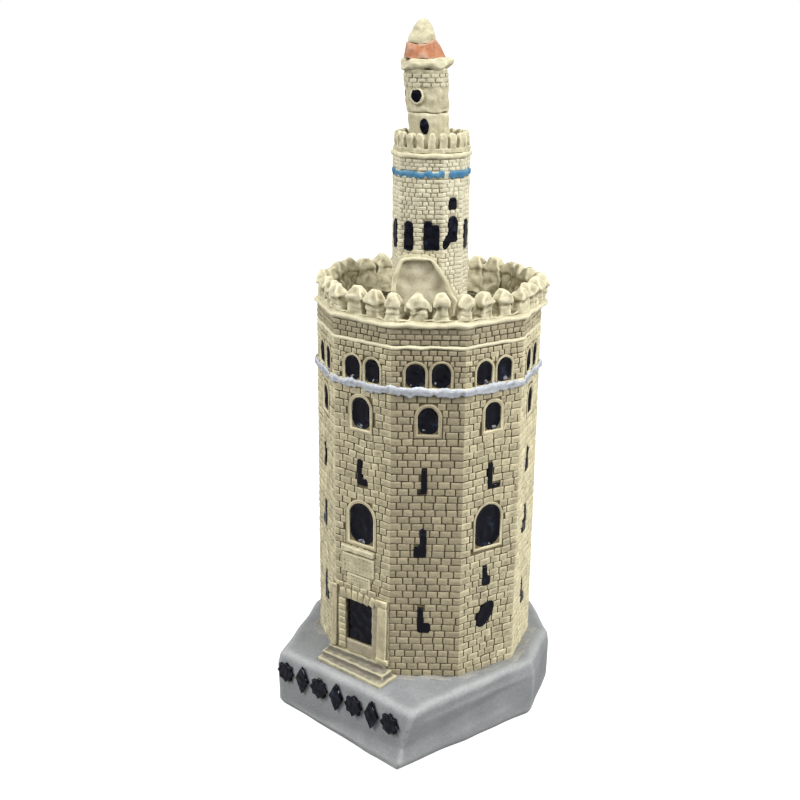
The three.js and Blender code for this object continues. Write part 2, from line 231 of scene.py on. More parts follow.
def recast(piece, voxel, rounds=4, amount=0.08, scale=3.0, seed=1, full=0.12, pulls=()):
    piece.data.materials.clear()
    remesh = piece.modifiers.new("remesh", "REMESH")
    remesh.mode = "VOXEL"
    remesh.voxel_size = voxel * MM
    soften = piece.modifiers.new("soften", "SMOOTH")
    soften.factor = 0.5
    soften.iterations = rounds
    piece.data = evaluated_mesh(piece)
    piece.modifiers.clear()
    for vertex in piece.data.vertices:
        vertex.co = pulled(vertex.co, pulls) + wobbled(vertex.co, amount, scale, seed)
    mark_relief(piece.data, full=full)
    return smooth(piece)


def copy_of(node, name):
    piece = bpy.data.objects.new(name, merged(nodes[node].data.copy()))
    bpy.context.scene.collection.objects.link(piece)
    return piece


# %% Ten-sided rings
def ring_solid(name, inner, outer, bottom, top):
    """A closed ten-sided ring between two corner radii; an inner radius of 0 is a full block."""
    points, faces = [], []
    levels = [(outer, bottom), (outer, top), (inner, top), (inner, bottom)]
    if not inner:
        levels = levels[:2]
    for radius, height in levels:
        for corner in range(SIDES):
            turn = (corner + 0.5) * SIDE_ANGLE
            points.append(Vector((radius * math.sin(turn), -radius * math.cos(turn), height)) * MM)
    for level in range(len(levels) if inner else 1):
        for i in range(SIDES):
            j = (i + 1) % SIDES
            a, b = level * SIDES, (level + 1) % len(levels) * SIDES
            faces.append((a + i, a + j, b + j, b + i))
    if not inner:
        faces.append(tuple(reversed(range(SIDES))))
        faces.append(tuple(range(SIDES, 2 * SIDES)))
    return new_object(name, points, faces)


# %% [markdown]
# ## Shader groups
# The same three-pass paint is on every part of the cast, only with other colours, so it is one
# node group. It mixes wash, coat and cream by the relief, breaks the borders up with noise, and
# also gives a roughness and a height for the fine grain of the resin. One more number, the
# cover, says where a full brush has painted the joints shut.

# %% Node helpers
def new_socket(tree, name, kind, default=None, output=False):
    socket = tree.interface.new_socket(
        name, in_out="OUTPUT" if output else "INPUT", socket_type=kind
    )
    if default is not None:
        socket.default_value = default
    return socket


def fill(tree, socket, value):
    if isinstance(value, bpy.types.NodeSocket):
        tree.links.new(value, socket)
    elif value is not None:
        socket.default_value = value


def math_node(tree, operation, first, second=None, third=None, clamp=False):
    node = tree.nodes.new("ShaderNodeMath")
    node.operation = operation
    node.use_clamp = clamp
    for socket, value in zip(node.inputs, (first, second, third)):
        fill(tree, socket, value)
    return node.outputs[0]


def vector_node(tree, operation, first, second=None, scale=None):
    node = tree.nodes.new("ShaderNodeVectorMath")
    node.operation = operation
    fill(tree, node.inputs[0], first)
    fill(tree, node.inputs[1], second)
    if scale is not None:
        fill(tree, node.inputs["Scale"], scale)
    return node.outputs[0]


def mix_colour(tree, share, first, second, blend="MIX"):
    node = tree.nodes.new("ShaderNodeMix")
    node.data_type = "RGBA"
    node.blend_type = blend
    for socket, value in zip((node.inputs[0], node.inputs[6], node.inputs[7]),
                             (share, first, second)):
        fill(tree, socket, value)
    return node.outputs[2]


def noise_node(tree, coordinates, scale, detail=3.0, roughness=0.55):
    node = tree.nodes.new("ShaderNodeTexNoise")
    node.inputs["Detail"].default_value = detail
    node.inputs["Roughness"].default_value = roughness
    fill(tree, node.inputs["Scale"], scale)
    fill(tree, node.inputs["Vector"], coordinates)
    return node.outputs["Fac"]


def grey_of(tree, value):
    grey = tree.nodes.new("ShaderNodeCombineColor")
    for socket in grey.inputs:
        tree.links.new(value, socket)
    return grey.outputs[0]


def attribute(tree, name):
    node = tree.nodes.new("ShaderNodeAttribute")
    node.attribute_name = name
    return node.outputs["Fac"]


# %% The paint group
def paint_group():
    tree = bpy.data.node_groups.new("three_pass_paint", "ShaderNodeTree")
    new_socket(tree, "Coat", "NodeSocketColor", (0.5, 0.45, 0.3, 1))
    new_socket(tree, "Cream", "NodeSocketColor", (0.75, 0.7, 0.5, 1))
    new_socket(tree, "Wash", "NodeSocketColor", (0.12, 0.1, 0.05, 1))
    new_socket(tree, "Relief", "NodeSocketFloat", 0.0)
    new_socket(tree, "Cover", "NodeSocketFloat", 0.0)
    new_socket(tree, "Brush", "NodeSocketFloat", 0.6)
    new_socket(tree, "Soak", "NodeSocketFloat", 0.7)
    new_socket(tree, "Patch", "NodeSocketFloat", 300.0)
    new_socket(tree, "Color", "NodeSocketColor", output=True)
    new_socket(tree, "Roughness", "NodeSocketFloat", output=True)
    new_socket(tree, "Height", "NodeSocketFloat", output=True)
    given = tree.nodes.new("NodeGroupInput").outputs
    out = tree.nodes.new("NodeGroupOutput")
    where = tree.nodes.new("ShaderNodeTexCoord").outputs["Object"]
    flatter = vector_node(tree, "MULTIPLY", where, (1.0, 1.0, 3.5))
    patches = noise_node(tree, where, given["Patch"], 4.0)
    grain = noise_node(tree, where, 2600.0, 2.0)
    streaks = noise_node(tree, flatter, 900.0, 3.0)
    ragged = math_node(tree, "MULTIPLY_ADD", patches, 0.9, -0.45)
    uneven = math_node(tree, "ADD", given["Relief"], ragged)
    caught = math_node(tree, "MULTIPLY", math_node(tree, "MULTIPLY_ADD", uneven, 1.5, 0.05, True),
                       given["Brush"], clamp=True)
    sunk = math_node(tree, "MULTIPLY_ADD", uneven, -1.7, -0.05, True)
    soaked = math_node(tree, "MULTIPLY", sunk, given["Soak"], clamp=True)
    missed = math_node(tree, "MULTIPLY_ADD", patches, 1.5, -1.5)
    covered = math_node(tree, "MULTIPLY_ADD", given["Cover"], 2.4, missed, True)
    speckle = math_node(tree, "MULTIPLY_ADD", grain, 0.5, 0.62)
    speckle = math_node(tree, "MULTIPLY_ADD", streaks, 0.26, speckle)
    coat = mix_colour(tree, caught, given["Coat"], given["Cream"])
    washed = mix_colour(tree, soaked, coat, given["Wash"])
    closed = mix_colour(tree, covered, washed, given["Cream"])
    colour = mix_colour(tree, 1.0, closed, grey_of(tree, speckle), "MULTIPLY")
    tree.links.new(colour, out.inputs["Color"])
    tree.links.new(math_node(tree, "MULTIPLY_ADD", patches, 0.3, 0.5), out.inputs["Roughness"])
    tree.links.new(math_node(tree, "MULTIPLY_ADD", grain, 0.4, streaks), out.inputs["Height"])
    return tree


PAINT = paint_group()
print("paint group made")


# %% A material from the paint group
def painted(name, coat, cream, wash, brush=0.6, soak=0.7, patch=300.0, bump=0.25, tinted=False):
    material = bpy.data.materials.new(name)
    material.use_nodes = True
    tree = material.node_tree
    shader = tree.nodes["Principled BSDF"]
    group = tree.nodes.new("ShaderNodeGroup")
    group.node_tree = PAINT
    for label, value in (("Coat", coat), ("Cream", cream), ("Wash", wash)):
        group.inputs[label].default_value = (*value, 1.0)
    group.inputs["Brush"].default_value = brush
    group.inputs["Soak"].default_value = soak
    group.inputs["Patch"].default_value = patch
    tree.links.new(attribute(tree, "relief"), group.inputs["Relief"])
    tree.links.new(attribute(tree, "cover"), group.inputs["Cover"])
    colour = group.outputs["Color"]
    if tinted:
        shade = math_node(tree, "MULTIPLY_ADD", attribute(tree, "tint"), 0.30, 0.84)
        colour = mix_colour(tree, 1.0, colour, grey_of(tree, shade), "MULTIPLY")
        # The brush amount of each point; on the front wall it also carries painted shade.
        tree.links.new(attribute(tree, "brush_and_shade"), group.inputs["Brush"])
    tree.links.new(colour, shader.inputs["Base Color"])
    tree.links.new(group.outputs["Roughness"], shader.inputs["Roughness"])
    lift = tree.nodes.new("ShaderNodeBump")
    lift.inputs["Strength"].default_value = bump
    lift.inputs["Distance"].default_value = 0.12 * MM
    tree.links.new(group.outputs["Height"], lift.inputs["Height"])
    tree.links.new(lift.outputs["Normal"], shader.inputs["Normal"])
    shader.inputs["Specular IOR Level"].default_value = 0.3
    return material


WASH = (0.125, 0.098, 0.048)
CREAM = (0.67, 0.61, 0.40)
PALE_CREAM = (0.72, 0.68, 0.51)
brick_paint = painted("brick_paint", (0.285, 0.243, 0.158), CREAM, WASH, patch=420.0, bump=0.7,
                      tinted=True)
turret_paint = painted("turret_paint", (0.50, 0.46, 0.33), PALE_CREAM, (0.24, 0.2, 0.12),
                       patch=380.0, bump=0.6, tinted=True)
mortar_paint = painted("mortar_paint", (0.15, 0.12, 0.062), CREAM, WASH, brush=0.4, soak=0.5)
turret_mortar = painted("turret_mortar", (0.30, 0.26, 0.16), PALE_CREAM, WASH, brush=0.4,
                        soak=0.4)
trim_paint = painted("trim_paint", (0.45, 0.41, 0.27), (0.67, 0.625, 0.44), (0.17, 0.14, 0.07),
                     brush=0.9, soak=0.9, patch=340.0, bump=0.5)
step_paint = painted("step_paint", (0.205, 0.19, 0.15), (0.44, 0.405, 0.27), (0.11, 0.1, 0.075),
                     brush=1.0, soak=0.9, patch=420.0, bump=0.5)
hood_paint = painted("hood_paint", (0.60, 0.55, 0.40), (0.74, 0.68, 0.50), (0.34, 0.3, 0.2),
                     patch=200.0, bump=0.4)
stone_paint = painted("stone_paint", (0.30, 0.265, 0.19), (0.50, 0.45, 0.30), WASH, bump=0.4)
plinth_paint = painted("plinth_paint", (0.225, 0.235, 0.24), (0.38, 0.39, 0.38),
                       (0.14, 0.145, 0.15), soak=0.5, patch=150.0, bump=0.18)
smear_paint = painted("smear_paint", (0.265, 0.26, 0.24), (0.30, 0.29, 0.255), (0.22, 0.22, 0.21),
                      brush=0.4, soak=0.4, patch=200.0)
white_paint = painted("white_paint", (0.25, 0.26, 0.285), (0.54, 0.57, 0.61), (0.13, 0.13, 0.13),
                      brush=1.0, soak=1.0, patch=700.0, bump=0.6)
blue_paint = painted("blue_paint", (0.028, 0.135, 0.26), (0.19, 0.39, 0.53), (0.018, 0.08, 0.14),
                     brush=0.6, soak=0.9, patch=220.0, bump=0.4)
tile_paint = painted("tile_paint", (0.39, 0.155, 0.07), (0.47, 0.31, 0.22), (0.2, 0.08, 0.035),
                     brush=0.9, soak=0.8, patch=420.0, bump=0.4)
print("paints made")

# %% [markdown]
# ## Glossy dark paint, and the pad's felt
# The windows, the door and the plinth's relief are filled with thick navy enamel. It is nearly black
# where it is deep, bluer where it is thin, and its lumpy skin gives small bright glints. Its raised
# edges are mixed towards blue-grey, which paints both wear and a highlight on them; it shows most on
# the plinth's relief.

# %% Navy enamel and felt
def navy():
    material = bpy.data.materials.new("navy_paint")
    material.use_nodes = True
    tree = material.node_tree
    shader = tree.nodes["Principled BSDF"]
    where = tree.nodes.new("ShaderNodeTexCoord").outputs["Object"]
    pools = noise_node(tree, where, 430.0, 4.0, 0.6)
    thin = math_node(tree, "MULTIPLY_ADD", pools, 4.5, -2.6, True)
    colour = mix_colour(tree, thin, (0.0014, 0.0016, 0.0055, 1), (0.022, 0.032, 0.06, 1))
    # Raised edges turn blue-grey: worn paint and a painted highlight.
    wear_and_highlight = math_node(tree, "MULTIPLY_ADD", attribute(tree, "relief"), 0.55, -0.3, True)
    colour = mix_colour(tree, wear_and_highlight, colour, (0.07, 0.085, 0.12, 1))
    tree.links.new(colour, shader.inputs["Base Color"])
    rough = math_node(tree, "MULTIPLY_ADD", pools, 0.2, 0.0)
    tree.links.new(rough, shader.inputs["Roughness"])
    shader.inputs["Specular IOR Level"].default_value = 0.22
    lift = tree.nodes.new("ShaderNodeBump")
    lift.inputs["Strength"].default_value = 0.12
    lift.inputs["Distance"].default_value = 0.25 * MM
    tree.links.new(noise_node(tree, where, 420.0, 1.5), lift.inputs["Height"])
    tree.links.new(lift.outputs["Normal"], shader.inputs["Normal"])
    return material


def felt():
    material = bpy.data.materials.new("pad_felt")
    material.use_nodes = True
    tree = material.node_tree
    shader = tree.nodes["Principled BSDF"]
    where = tree.nodes.new("ShaderNodeTexCoord").outputs["Object"]
    fibres = noise_node(tree, where, 3000.0, 4.0, 0.7)
    colour = mix_colour(tree, fibres, (0.012, 0.012, 0.014, 1), (0.07, 0.07, 0.075, 1))
    tree.links.new(colour, shader.inputs["Base Color"])
    shader.inputs["Roughness"].default_value = 0.95
    shader.inputs["Sheen Weight"].default_value = 0.4
    lift = tree.nodes.new("ShaderNodeBump")
    lift.inputs["Strength"].default_value = 0.6
    lift.inputs["Distance"].default_value = 0.15 * MM
    tree.links.new(fibres, lift.inputs["Height"])
    tree.links.new(lift.outputs["Normal"], shader.inputs["Normal"])
    return material


navy_paint = navy()
pad_felt = felt()

# %% [markdown]
# ## Openings
# Every window is an outline on a wall. One function gives that outline, grown by any distance,
# and the wall, the frame round the window, the paint in it and the bricks beside it all use it.

# %% Outlines of windows
ARC_STEPS = 12


def arch(centre, width, bottom, top):
    """An outline as a function of how far it is grown."""
    def grown(by):
        half = width / 2 + by
        spring = top - width / 2
        points = [(centre - half, bottom - by), (centre + half, bottom - by)]
        for step in range(ARC_STEPS + 1):
            angle = math.pi * step / ARC_STEPS
            points.append((centre + half * math.cos(angle), spring + half * math.sin(angle)))
        return points
    return grown


def slit(centre, width, bottom, top, foot=0.0, foot_top=0.0):
    """A slit, with a foot to one side at its lower end where foot isn't zero."""
    def grown(by):
        left, right = centre - width / 2 - by, centre + width / 2 + by
        points = [(left, bottom - by), (right, bottom - by), (right, top + by), (left, top + by)]
        if foot > 0:
            points[1:2] = [(right + foot, bottom - by), (right + foot, foot_top + by),
                           (right, foot_top + by)]
        if foot < 0:
            points[0:1] = [(left, foot_top + by), (left + foot, foot_top + by),
                           (left + foot, bottom - by)]
        return points
    return grown


def oval(centre, width, bottom, top, lean=0.0):
    middle = (bottom + top) / 2
    steps = 2 * ARC_STEPS

    def grown(by):
        points = []
        for i in range(steps):
            turn = 2 * math.pi * i / steps
            rise = ((top - bottom) / 2 + by) * math.sin(turn)
            points.append((centre + (width / 2 + by) * math.cos(turn) + lean * rise, middle + rise))
        return points
    return grown


ROUND_FOOT = 1.5


def rounded(loop, reach):
    """The loop with its corners cut twice; no cut is longer than reach."""
    for _ in range(2):
        cut = []
        for i, (u, z) in enumerate(loop):
            for nu, nz in (loop[i - 1], loop[(i + 1) % len(loop)]):
                share = min(0.3, reach / max(math.hypot(nu - u, nz - z), 0.01))
                cut.append((u + (nu - u) * share, z + (nz - z) * share))
        loop = cut
        reach /= 2
    return loop


# %% The openings of each side
FRAME = 0.85
NONE = 0.0
plain_side = [
    (arch(0.1, 3.9, 65.8, 71.2), FRAME),
    (slit(-0.5, 1.0, 53.6, 58.7, -0.8, 54.1), NONE),
    (slit(-0.55, 1.15, 40.1, 46.3, -1.2, 42.3), NONE),
    (slit(-0.9, 1.1, 23.6, 29.1, 1.5, 25.8), NONE),
]
window_side = [
    (arch(-0.05, 4.0, 65.6, 71.3), FRAME),
    (slit(-0.35, 1.1, 53.4, 58.8, 2.1, 54.1), NONE),
    (arch(-0.45, 6.4, 41.1, 50.1), 0.6),
    (slit(-0.95, 1.1, 32.5, 36.8, 0.9, 34.6), NONE),
    (oval(-0.6, 4.1, 23.5, 29.0, 0.35), NONE),
]
door = slit(-0.8, 6.7, 18.6, 27.9)
surround = slit(-0.05, 13.9, 16.0, 30.4)
door_side = [
    (arch(-0.4, 4.5, 65.3, 71.7), FRAME),
    (slit(-0.65, 1.05, 53.6, 59.1, 1.4, 55.2), NONE),
    (arch(-0.25, 6.2, 41.0, 49.6), 0.9),
]


def windows_of(side):
    if side == DOOR_SIDE:
        return door_side
    return window_side if side % 2 else plain_side


def openings_of(side):
    return windows_of(side) + ([(door, NONE)] if side == DOOR_SIDE else [])


def unbricked(side):
    return windows_of(side) + ([(surround, NONE)] if side == DOOR_SIDE else [])


def gallery_pair(side):
    return [(arch(-2.45, 3.75, 75.1, 79.85), 0.62), (arch(2.45, 3.65, 75.1, 79.9), 0.62)]


turret_arch = arch(0.0, 2.1, 98.6, 104.3)
turret_openings = {side: [(turret_arch, NONE)] for side in ALL_SIDES}
turret_openings[0] = [(slit(-0.55, 1.5, 98.8, 104.5, 1.5, 103.7), NONE)]
turret_openings[1] = [(arch(0.1, 2.1, 100.3, 105.4), NONE), (arch(0.0, 1.8, 106.5, 109.0), NONE)]


def turret_windows(side):
    return turret_openings[side]


def turret_spots(side):
    smear = [(oval(-1.3, 1.7, 99.0, 101.9, 0.3), NONE)] if side == 1 else []
    return turret_openings[side] + smear


def no_openings(side):
    return []


print("windows on the lower walls:", sum(len(windows_of(s)) for s in ALL_SIDES))

# %% [markdown]
# ## The wall behind the bricks
# Between the bricks one sees down to the joint, so each wall has a backing that lies a little
# below the brick faces. It is one closed block. Each side has holes for the windows, and each
# hole gets a sill and cheeks that run back to the paint at its bottom.

# %% Build a wall's backing
JOINT_DEPTH = 0.26
POCKET = 0.7


def backing(name, corner, bottom, top, openings, cover, material, depth):
    points, faces, slots, covers = [], [], [], []
    front = apothem(corner) - depth
    half = front * math.tan(SIDE_ANGLE / 2)
    feet, heads = [], []
    for side in ALL_SIDES:
        loops = [[(-half, bottom), (half, bottom), (half, top), (-half, top)]]
        loops += [rounded(outline(0.0), ROUND_FOOT) if border else outline(0.0)
                  for outline, border in openings(side)]
        flat = [Vector((u, z, 0)) for loop in loops for u, z in loop]
        start = len(points)
        feet.append(start)
        heads.append(start + 3)
        points += [on_side(side, p.x, p.y, front) for p in flat]
        for a, b, c in tessellate_polygon([[Vector((u, z, 0)) for u, z in loop] for loop in loops]):
            first, second = flat[b] - flat[a], flat[c] - flat[a]
            turn = first.x * second.y - first.y * second.x
            faces.append((start + a, start + b, start + c) if turn > 0 else
                         (start + a, start + c, start + b))
            slots.append(0)
        offset = start + 4
        for loop in loops[1:]:
            deep = len(points)
            points += [on_side(side, u, z, front - POCKET) for u, z in loop]
            count = len(loop)
            for i in range(count):
                j = (i + 1) % count
                faces.append((offset + j, offset + i, deep + i, deep + j))
                slots.append(0)
            faces.append(tuple(deep + i for i in range(count)))
            slots.append(1)
            offset += count
        covers += [cover(side)] * (len(points) - start)
    faces += [tuple(reversed(feet)), tuple(heads)]
    piece = new_object(name, points, faces, [material, navy_paint])
    piece.data.polygons.foreach_set("material_index", slots + [0, 0])
    set_float(piece.data, "cover", covers)
    merged(piece.data)
    return piece


# %% [markdown]
# ## Bricks
# There are thousands of bricks, so they are grown by Geometry Nodes. A small script lays them
# out first: row by row, with joints that step by half a brick, and gaps where a window is. Each
# brick is one point that carries its size and its turn. The node tree puts a brick on each
# point, tilts it a little, and then shakes the whole wall with noise so that no two are alike.

# %% One brick
def brick_template():
    """A block one unit wide, deep and high, rounded at the front, with its relief marked."""
    rings = [(0.0, 0.0, -1.0), (-0.5, 0.0, -0.5), (-0.92, 0.012, 0.7), (-1.0, 0.05, 0.35)]
    corner = 0.045
    points, faces, relief = [], [], []
    for depth, inset, stand in rings:
        w, h = 0.5 - inset * 0.7, 0.5 - inset * 1.4
        c, d = corner * 0.7, corner * 1.4
        ring = [(-w + c, -h), (w - c, -h), (w, -h + d), (w, h - d),
                (w - c, h), (-w + c, h), (-w, h - d), (-w, -h + d)]
        points += [(x, depth, z) for x, z in ring]
        relief += [stand] * len(ring)
    size = 8
    for level in range(len(rings) - 1):
        for i in range(size):
            j = (i + 1) % size
            a, b = level * size, (level + 1) * size
            faces.append((a + i, a + j, b + j, b + i))
    last = (len(rings) - 1) * size
    points.append((0.0, -1.02, 0.0))
    relief.append(0.05)
    for i in range(size):
        faces.append((last + i, last + (i + 1) % size, len(points) - 1))
    faces.append(tuple(reversed(range(size))))
    piece = new_object("brick_template", points, faces)
    set_float(piece.data, "relief", relief)
    return smooth(piece)


brick = brick_template()

# %% The tree that lays bricks
def laying_tree():
    tree = bpy.data.node_groups.new("lay_bricks", "GeometryNodeTree")
    tree.is_modifier = True
    new_socket(tree, "Geometry", "NodeSocketGeometry")
    new_socket(tree, "Brick", "NodeSocketObject")
    new_socket(tree, "Tilt", "NodeSocketFloat", 0.03)
    new_socket(tree, "Wobble", "NodeSocketFloat", 0.1 * MM)
    new_socket(tree, "Wobble Scale", "NodeSocketFloat", 700.0)
    new_socket(tree, "Seed", "NodeSocketInt", 1)
    new_socket(tree, "Material", "NodeSocketMaterial")
    new_socket(tree, "Geometry", "NodeSocketGeometry", output=True)
    given = tree.nodes.new("NodeGroupInput").outputs
    out = tree.nodes.new("NodeGroupOutput")
    info = tree.nodes.new("GeometryNodeObjectInfo")
    info.inputs["As Instance"].default_value = True
    fill(tree, info.inputs["Object"], given["Brick"])
    held = {}
    for name in ("size", "turn"):
        node = tree.nodes.new("GeometryNodeInputNamedAttribute")
        node.data_type = "FLOAT_VECTOR"
        node.inputs["Name"].default_value = name
        held[name] = node.outputs["Attribute"]
    chance = tree.nodes.new("FunctionNodeRandomValue")
    chance.data_type = "FLOAT_VECTOR"
    chance.inputs["Min"].default_value = (-1, -1, -1)
    chance.inputs["Max"].default_value = (1, 1, 1)
    fill(tree, chance.inputs["Seed"], given["Seed"])
    tilt = vector_node(tree, "SCALE", chance.outputs["Value"], scale=given["Tilt"])
    angle = vector_node(tree, "ADD", held["turn"], tilt)
    euler = tree.nodes.new("FunctionNodeEulerToRotation")
    fill(tree, euler.inputs[0], angle)
    place = tree.nodes.new("GeometryNodeInstanceOnPoints")
    fill(tree, place.inputs["Points"], given["Geometry"])
    fill(tree, place.inputs["Instance"], info.outputs["Geometry"])
    fill(tree, place.inputs["Rotation"], euler.outputs[0])
    fill(tree, place.inputs["Scale"], held["size"])
    real = tree.nodes.new("GeometryNodeRealizeInstances")
    fill(tree, real.inputs[0], place.outputs["Instances"])
    rough = tree.nodes.new("ShaderNodeTexNoise")
    rough.inputs["Detail"].default_value = 2.0
    fill(tree, rough.inputs["Vector"], tree.nodes.new("GeometryNodeInputPosition").outputs[0])
    fill(tree, rough.inputs["Scale"], given["Wobble Scale"])
    centred = vector_node(tree, "SUBTRACT", rough.outputs["Color"], (0.5, 0.5, 0.5))
    push = vector_node(tree, "SCALE", centred, scale=given["Wobble"])
    shift = tree.nodes.new("GeometryNodeSetPosition")
    fill(tree, shift.inputs["Geometry"], real.outputs[0])
    fill(tree, shift.inputs["Offset"], push)
    coat = tree.nodes.new("GeometryNodeSetMaterial")
    fill(tree, coat.inputs["Geometry"], shift.outputs[0])
    fill(tree, coat.inputs["Material"], given["Material"])
    tree.links.new(coat.outputs[0], out.inputs[0])
    return tree


LAYING = laying_tree()
SITE_NUMBERS = ("tint", "brush_and_shade", "cover")


def site(place, size, turn, tint=0.5, brush_and_shade=0.7, cover=0.0):
    return {"place": place, "size": [s * MM for s in size], "turn": turn, "tint": tint,
            "brush_and_shade": brush_and_shade, "cover": cover}


def laid(name, sites, template, material, tilt=0.03, wobble=0.1, wobble_scale=700.0, seed=1):
    points = new_object(name, [s["place"] for s in sites], [])
    mesh = points.data
    for label in ("size", "turn"):
        layer = mesh.attributes.new(label, "FLOAT_VECTOR", "POINT")
        layer.data.foreach_set("vector", [v for s in sites for v in s[label]])
    for label in SITE_NUMBERS:
        set_float(mesh, label, [s[label] for s in sites])
    grow = points.modifiers.new("grow", "NODES")
    grow.node_group = LAYING
    given = {
        "Brick": template, "Tilt": tilt, "Wobble": wobble * MM, "Wobble Scale": wobble_scale,
        "Seed": seed, "Material": material,
    }
    for socket in LAYING.interface.items_tree:
        if socket.in_out == "INPUT" and socket.name in given:
            grow[socket.identifier] = given[socket.name]
    points.data = evaluated_mesh(points)
    points.modifiers.clear()
    return smooth(points)


# %% [markdown]
# ## Laying out the rows
# A row starts at the left end of a side and sets joints at nearly even steps. Where the outline
# of a window, grown by its frame, crosses the row, the bricks are cut short. Scraps too small to
# see are dropped, as a mason would. The middle walls are laid neatly, and the ones beside them
# carelessly: their rows rise and fall, and their bricks are of all lengths.

# %% Rows of bricks on every side
BED_JOINT = 0.13
END_JOINT = 0.25
CORNER_REACH = 0.08
SMALLEST = 0.4


def blocked_spans(openings, height):
    """The stretches of a row at this height that windows and their frames take up."""
    spans = []
    for outline, border in openings:
        points = outline(border)
        crossings = []
        for (u0, z0), (u1, z1) in zip(points, points[1:] + points[:1]):
            if (z0 <= height) != (z1 <= height):
                crossings.append(u0 + (u1 - u0) * (height - z0) / (z1 - z0))
        crossings.sort()
        spans += list(zip(crossings[::2], crossings[1::2]))
    return spans


def free_stretches(start, end, spans):
    stretches = [(start, end)]
    for low_end, high_end in spans:
        kept = []
        for a, b in stretches:
            if high_end <= a or low_end >= b:
                kept.append((a, b))
            else:
                kept += [(a, low_end - 0.05), (high_end + 0.05, b)]
        stretches = [(a, b) for a, b in kept if b - a > SMALLEST]
    return stretches


def joints_along(half, length, late, uneven, chance):
    joints = [-half]
    step = length * (0.55 if late else 1.0) * chance.uniform(0.85, 1.15)
    while joints[-1] + step < half - 0.3 * length:
        joints.append(joints[-1] + step)
        step = length * chance.uniform(1 - uneven, 1 + uneven)
    return joints + [half]


def row_wave(side, along, row, care):
    """How far a careless row strays from level at a point."""
    return care * 0.55 * noise.noise(Vector((along * 0.16 + side * 5.3, row * 0.11, side * 2.9)))


def brick_sites(corner, bottom, top, course, length, openings, look, seed, bed=BED_JOINT):
    """look(side) gives (dusty, cover, carelessness) for a side."""
    chance = random.Random(seed)
    front = apothem(corner)
    half = corner * math.sin(SIDE_ANGLE / 2) - 0.04
    rows = max(1, round((top - bottom) / course))
    course = (top - bottom) / rows
    sites = []
    for side in ALL_SIDES:
        brush_and_shade, cover, care = look(side)
        for row in range(rows):
            middle = bottom + (row + 0.5) * course
            fade = min(row, rows - 1 - row, 3) / 3
            spans = blocked_spans(openings(side), middle)
            joints = joints_along(half, length, row % 2, 0.12 + 0.22 * care, chance)
            for a, b in zip(joints, joints[1:]):
                a += END_JOINT / 2 if a > -half else -CORNER_REACH
                b -= END_JOINT / 2 if b < half else -CORNER_REACH
                for left, right in free_stretches(a, b, spans):
                    centre = (left + right) / 2
                    stray = fade * row_wave(side, centre, row, care)
                    stray += chance.uniform(-0.04, 0.04) * (1 + care)
                    slope = row_wave(side, right, row, care) - row_wave(side, left, row, care)
                    tip = fade * slope / (right - left) + chance.uniform(-0.03, 0.03) * care
                    stand = JOINT_DEPTH + 0.10 * (1 - 0.6 * cover) + chance.uniform(-0.04, 0.04)
                    size = (right - left, stand, course - bed + chance.uniform(-0.05, 0.05))
                    place = on_side(side, centre, middle + stray, front - JOINT_DEPTH - 0.05)
                    tint = min(1.0, max(0.0, chance.gauss(0.5, 0.2)))
                    sites.append(site(place, size, (0, -tip, side * SIDE_ANGLE), tint,
                                      brush_and_shade + chance.uniform(-0.15, 0.15), cover))
    return sites


# %% [markdown]
# How each side is painted: the wall over the front point is the neatest and takes the least cream,
# which paints shade on it as the least-lit wall; its neighbours take more, and on the next one to
# the right the cream fills the joints.

# %% The look of each side
def wall_look(side):
    # The front wall's small cream share is painted shade: it keeps that wall darker.
    if side == 0:
        return 0.15, 0.0, 0.15
    if side == 2:
        return 0.95, 0.62, 0.8
    if side in (-2, 3, 5):
        return 0.9, 0.42, 0.8
    return 0.85, 0.12, 0.75


def wall_cover(side):
    return wall_look(side)[1] * 0.8


def parapet_look(side):
    brush_and_shade, cover, care = wall_look(side)
    return 0.45 * brush_and_shade, 0.6 * cover, care


def turret_look(side):
    if side in (0, -1):
        return 0.7, 0.3, 0.5
    return 0.95, 0.5, 0.7


def turret_cover(side):
    return turret_look(side)[1] * 0.9


# %% Brick walls
def brick_wall(node, corner, course, length, openings, bricked, look, cover, paints, seed,
               bed=BED_JOINT, depth=JOINT_DEPTH):
    """Bricks on a backing, in place of one wall of the frame."""
    bottom, top = low(node), high(node)
    sites = brick_sites(corner, bottom, top, course, length, bricked, look, seed + 8, bed)
    finished(laid(node + "_bricks", sites, brick, paints[0], seed=seed, wobble=0.16))
    back = backing(node + "_backing", corner, bottom, top, openings, cover, paints[1], depth)
    finished(back, [node])


wall_paints = (brick_paint, mortar_paint)
turret_paints = (turret_paint, turret_mortar)
brick_wall("lower_wall", WALL, 1.47, 2.25, openings_of, unbricked, wall_look, wall_cover,
           wall_paints, 3)
brick_wall("gallery_wall", WALL, 1.05, 1.75, gallery_pair, gallery_pair, wall_look, wall_cover,
           wall_paints, 4)
brick_wall("turret_wall", TURRET, 0.85, 1.35, turret_windows, turret_windows, turret_look,
           turret_cover, turret_paints, 6, bed=0.1, depth=0.1)
brick_wall("turret_upper_wall", TURRET, 0.75, 1.3, no_openings, no_openings, turret_look,
           turret_cover, turret_paints, 7, bed=0.1, depth=0.06)

# %% [markdown]
# ## The terrace
# Over the string course stands a low parapet of three rows of small, deep-cut bricks. Behind
# it is the terrace floor. Both are plain rings with soft edges, and the bricks are laid on them.

